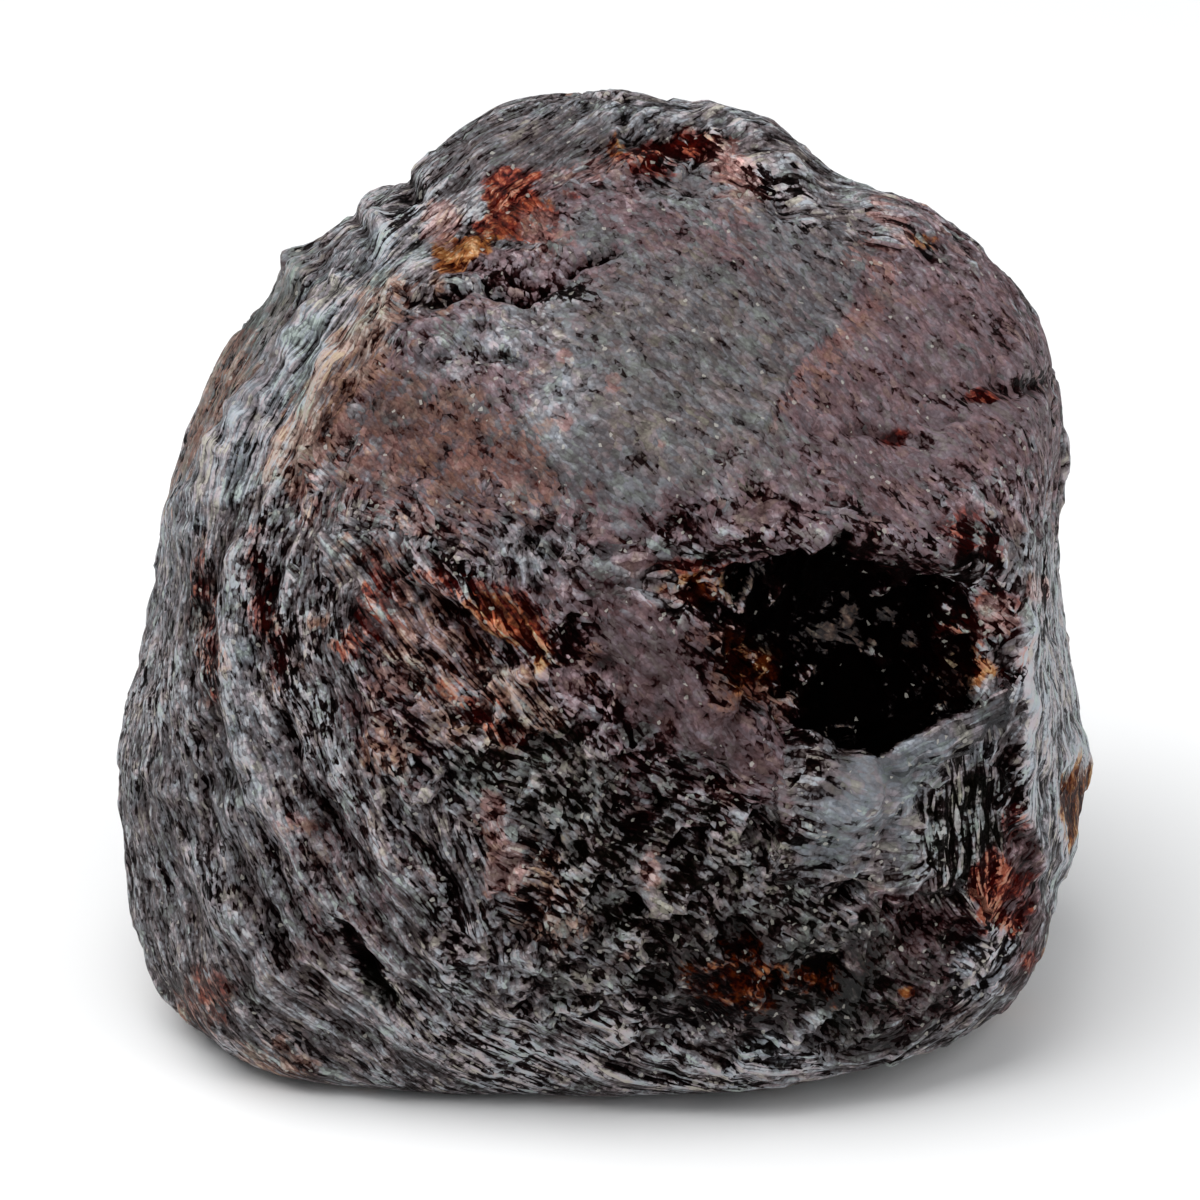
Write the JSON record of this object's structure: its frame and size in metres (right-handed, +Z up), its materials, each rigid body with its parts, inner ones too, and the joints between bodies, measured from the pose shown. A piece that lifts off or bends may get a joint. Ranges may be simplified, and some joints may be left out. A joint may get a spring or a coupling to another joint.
{
  "type": "rough garnet crystal",
  "caption": "Worn rough garnet crystal with soft faces, a grey layered skin and a black glassy hollow, a display stone that rests on a flat underside.",
  "frame": {"origin": "on the resting flat, below the middle of the stone", "axes": "+Z up, +X to the right and -Y towards the viewer of the front, which holds the black hollow"},
  "size_m": [0.038, 0.035, 0.035],
  "materials": {
    "garnet": "worn grey-brown schist skin with a satin sheen, over dark red garnet"
  },
  "bodies": {
    "root": {"garnet_crystal": "garnet"}
  },
  "joints": []
}
